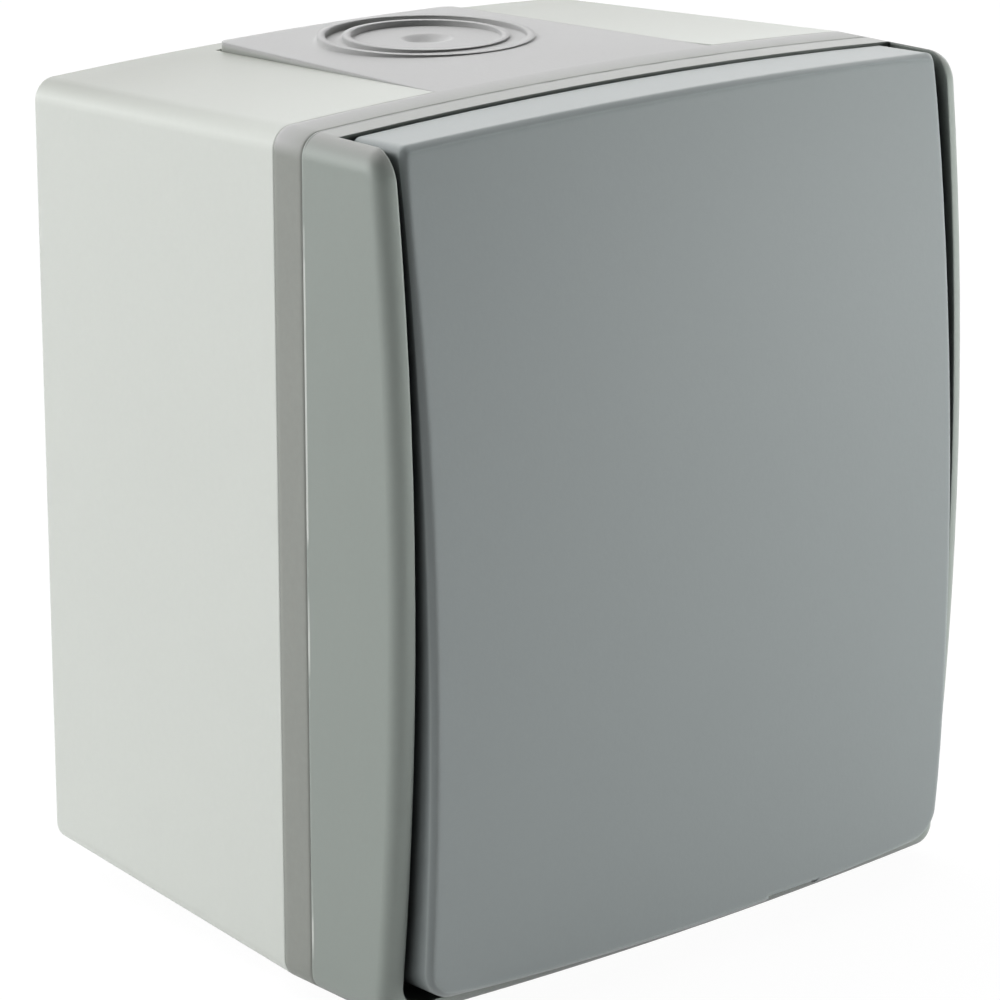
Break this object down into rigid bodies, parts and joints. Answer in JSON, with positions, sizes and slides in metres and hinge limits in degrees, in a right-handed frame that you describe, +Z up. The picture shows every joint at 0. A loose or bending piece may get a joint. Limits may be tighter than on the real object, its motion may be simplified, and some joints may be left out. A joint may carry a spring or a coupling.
{
  "type": "weatherproof rocker switch",
  "caption": "Surface-mounted weatherproof light switch: drafted grey box, soft seal with cable entry pad, cover frame and a large curved rocker.",
  "frame": {"origin": "centre of the rear face, on the wall plane", "axes": "+X right seen from the front, +Y into the wall, +Z up"},
  "size_m": [0.0666, 0.0545, 0.077],
  "materials": {
    "box_plastic": "satin moulded thermoplastic, light grey",
    "seal_rubber": "soft matt elastomer, mid grey",
    "cover_plastic": "satin moulded thermoplastic, grey",
    "rocker_plastic": "satin moulded thermoplastic, blue grey",
    "gaiter_rubber": "soft black elastomer",
    "cradle_plastic": "natural white nylon",
    "mechanism_plastic": "matt thermoset, pale grey",
    "spring_steel": "drawn spring wire",
    "screw_steel": "zinc plated steel",
    "terminal_brass": "stamped strip",
    "contact_silver": "silver alloy"
  },
  "bodies": {
    "housing": {"base_box": "box_plastic", "entry_seal": "seal_rubber", "cover_frame": "cover_plastic", "rocker_membrane": "gaiter_rubber", "mechanism_body": "mechanism_plastic", "mechanism_lid": "mechanism_plastic", "mechanism_screws": "screw_steel", "common_terminal": "terminal_brass", "upper_terminal": "terminal_brass", "lower_terminal": "terminal_brass", "terminal_screws": "screw_steel", "wire_clamps": "screw_steel", "fixed_contacts": "contact_silver", "cover_screws": "screw_steel", "screw_seals": "gaiter_rubber"},
    "rocker": {"rocker_plate": "rocker_plastic", "actuator_cradle": "cradle_plastic", "plunger": "cradle_plastic", "plunger_spring": "spring_steel"},
    "contact": {"contact_lever": "terminal_brass", "lever_contacts": "contact_silver"}
  },
  "joints": [
    {"name": "rocker_tilt", "type": "hinge", "parent": "housing", "child": "rocker", "pos_m": [0, -0.0424, 0], "axis": [1, 0, 0], "range_deg": [0, 4]},
    {"name": "contact_flip", "type": "hinge", "parent": "housing", "child": "contact", "pos_m": [0, -0.026, 0], "axis": [1, 0, 0], "range_deg": [-13, 0]}
  ],
  "couplings": [
    {"joint": "contact_flip", "follows": "rocker_tilt", "ratio": -3}
  ]
}
